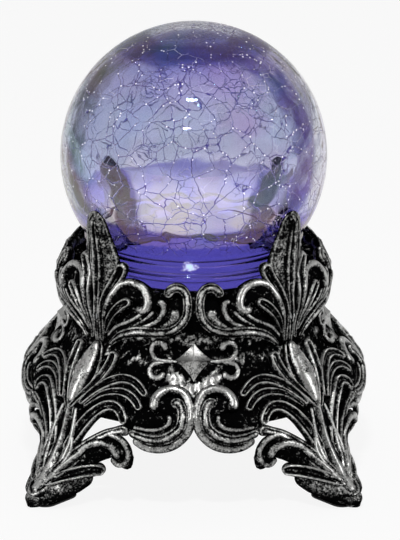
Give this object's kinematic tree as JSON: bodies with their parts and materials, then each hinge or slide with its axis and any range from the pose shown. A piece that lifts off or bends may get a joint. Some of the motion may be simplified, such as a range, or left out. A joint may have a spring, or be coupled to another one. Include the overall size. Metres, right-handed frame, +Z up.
{
  "type": "light-up crystal ball on scroll stand",
  "caption": "Crackled iridescent glass ball lit from below, held in a scroll-work stand with legs and claws and a battery lamp unit inside.",
  "frame": {"origin": "on the surface it stands on, under the middle of the stand", "axes": "+Z up through the globe's middle, -Y out of the front, the feet on the diagonals"},
  "size_m": [0.1618, 0.1618, 0.2092],
  "materials": {
    "crackle_glass": "gloss",
    "stand_casting": "satin",
    "foot_felt": "matte",
    "gasket_rubber": "matte",
    "black_plastic": "matte",
    "frosted_plastic": "satin",
    "screw_steel": "satin",
    "board_laminate": "satin",
    "lamp_resin": "gloss",
    "resistor_ceramic": "satin",
    "switch_metal": "satin",
    "cell_jacket": "satin",
    "contact_nickel": "satin",
    "wire_red_pvc": "satin",
    "wire_black_pvc": "satin"
  },
  "bodies": {
    "stand": {"glass_globe": "crackle_glass", "globe_gasket": "gasket_rubber", "stand_body": "stand_casting", "leg_front_left": "stand_casting", "leg_front_right": "stand_casting", "leg_rear_right": "stand_casting", "leg_rear_left": "stand_casting", "foot_pad_front_left": "foot_felt", "foot_pad_front_right": "foot_felt", "foot_pad_rear_right": "foot_felt", "foot_pad_rear_left": "foot_felt", "leg_screws": "screw_steel", "light_diffuser": "frosted_plastic", "lamp_tray": "black_plastic", "tray_screws": "screw_steel", "led_board": "board_laminate", "led_1": "lamp_resin", "led_2": "lamp_resin", "led_3": "lamp_resin", "led_resistor": "resistor_ceramic", "board_screws": "screw_steel", "switch_body": "switch_metal", "switch_screws": "screw_steel", "battery_1": "cell_jacket", "battery_2": "cell_jacket", "battery_3": "cell_jacket", "battery_spring_1": "contact_nickel", "battery_spring_2": "contact_nickel", "battery_spring_3": "contact_nickel", "contact_plus": "contact_nickel", "contact_minus": "contact_nickel", "contact_bridge_left": "contact_nickel", "contact_bridge_right": "contact_nickel", "wire_red": "wire_red_pvc", "wire_black": "wire_black_pvc"},
    "switch_slider": {"switch_knob": "black_plastic"},
    "door": {"battery_door": "black_plastic"}
  },
  "joints": [
    {"name": "switch_slide", "type": "slide", "parent": "stand", "child": "switch_slider", "axis": [1, 0, 0], "range_m": [0, 0.004]},
    {"name": "door_hinge", "type": "hinge", "parent": "stand", "child": "door", "pos_m": [0, 0.02135, 0.05], "axis": [1, 0, 0], "range_deg": [0, 100]}
  ]
}
